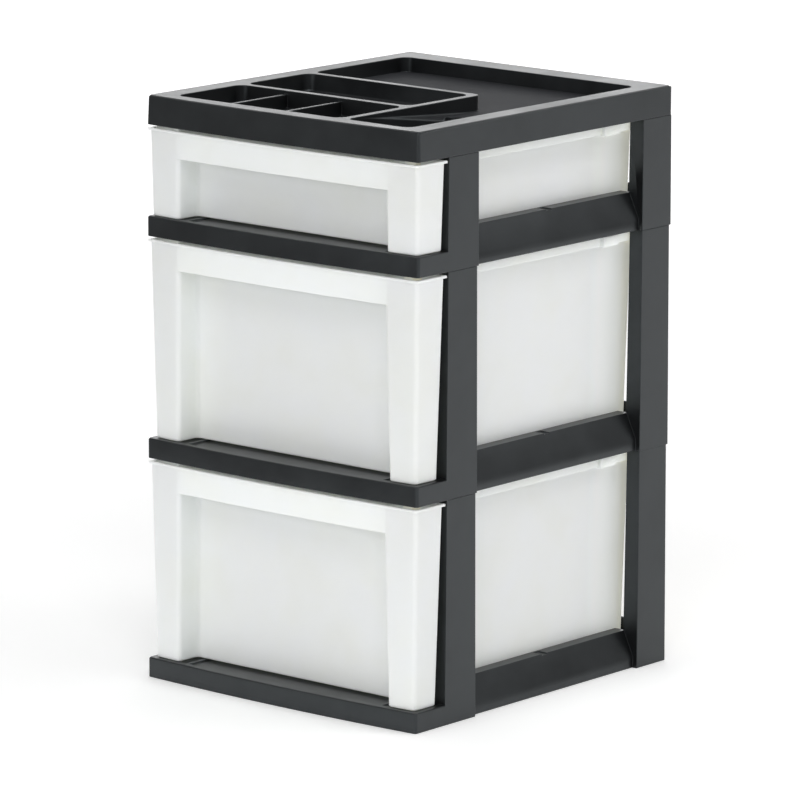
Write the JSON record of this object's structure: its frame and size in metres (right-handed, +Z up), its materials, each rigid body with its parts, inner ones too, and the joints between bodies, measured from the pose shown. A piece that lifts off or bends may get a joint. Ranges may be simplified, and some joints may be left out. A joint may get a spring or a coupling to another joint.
{
  "type": "drawer tower",
  "caption": "Free-standing plastic drawer tower: stacked tier frames with sliding translucent drawers under a divided organizer top.",
  "frame": {"origin": "on the floor, under the middle of the tower's bounding box", "axes": "+X to the right seen from the front, +Y to the back, +Z up; drawers pull out along -Y"},
  "size_m": [0.308, 0.354, 0.518],
  "materials": {
    "frame_black": "satin moulded black polystyrene",
    "drawer_translucent": "translucent natural polypropylene, lightly frosted"
  },
  "bodies": {
    "frame": {"organizer_top": "frame_black", "tier_frame_upper": "frame_black", "tier_frame_middle": "frame_black", "tier_frame_lower": "frame_black"},
    "upper_drawer": {"drawer_upper": "drawer_translucent"},
    "middle_drawer": {"drawer_middle": "drawer_translucent"},
    "lower_drawer": {"drawer_lower": "drawer_translucent"}
  },
  "joints": [
    {"name": "upper_drawer_slide", "type": "slide", "parent": "frame", "child": "upper_drawer", "axis": [0, -1, 0], "range_m": [0, 0.188]},
    {"name": "middle_drawer_slide", "type": "slide", "parent": "frame", "child": "middle_drawer", "axis": [0, -1, 0], "range_m": [0, 0.188]},
    {"name": "lower_drawer_slide", "type": "slide", "parent": "frame", "child": "lower_drawer", "axis": [0, -1, 0], "range_m": [0, 0.188]}
  ]
}
